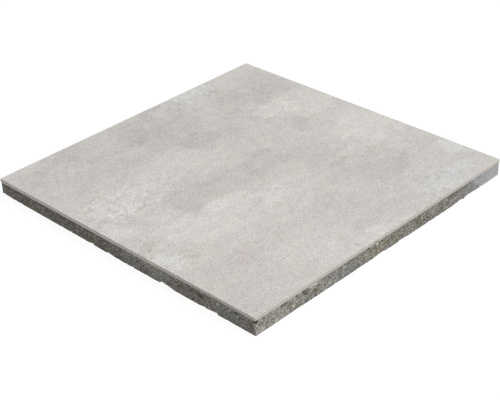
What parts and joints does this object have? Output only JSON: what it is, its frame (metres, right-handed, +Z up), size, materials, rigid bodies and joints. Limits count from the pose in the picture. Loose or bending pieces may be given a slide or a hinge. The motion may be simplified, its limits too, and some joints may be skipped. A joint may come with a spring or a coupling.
{
  "type": "ceramic-faced concrete paving slab",
  "caption": "Square paving slab: a pale cement-look ceramic tile bonded to a rough-sided cast concrete base, laid flat on the ground to walk on.",
  "frame": {"origin": "middle of the underside", "axes": "+Z up through the slab's thickness, X and Y along its sides; the picture's nearest corner is at -X -Y"},
  "size_m": [0.597, 0.597, 0.032],
  "materials": {
    "ceramic": "matt, with a cement-look print",
    "concrete": "rough cast"
  },
  "bodies": {
    "root": {"ceramic_tile": "ceramic", "concrete_base": "concrete"}
  },
  "joints": []
}
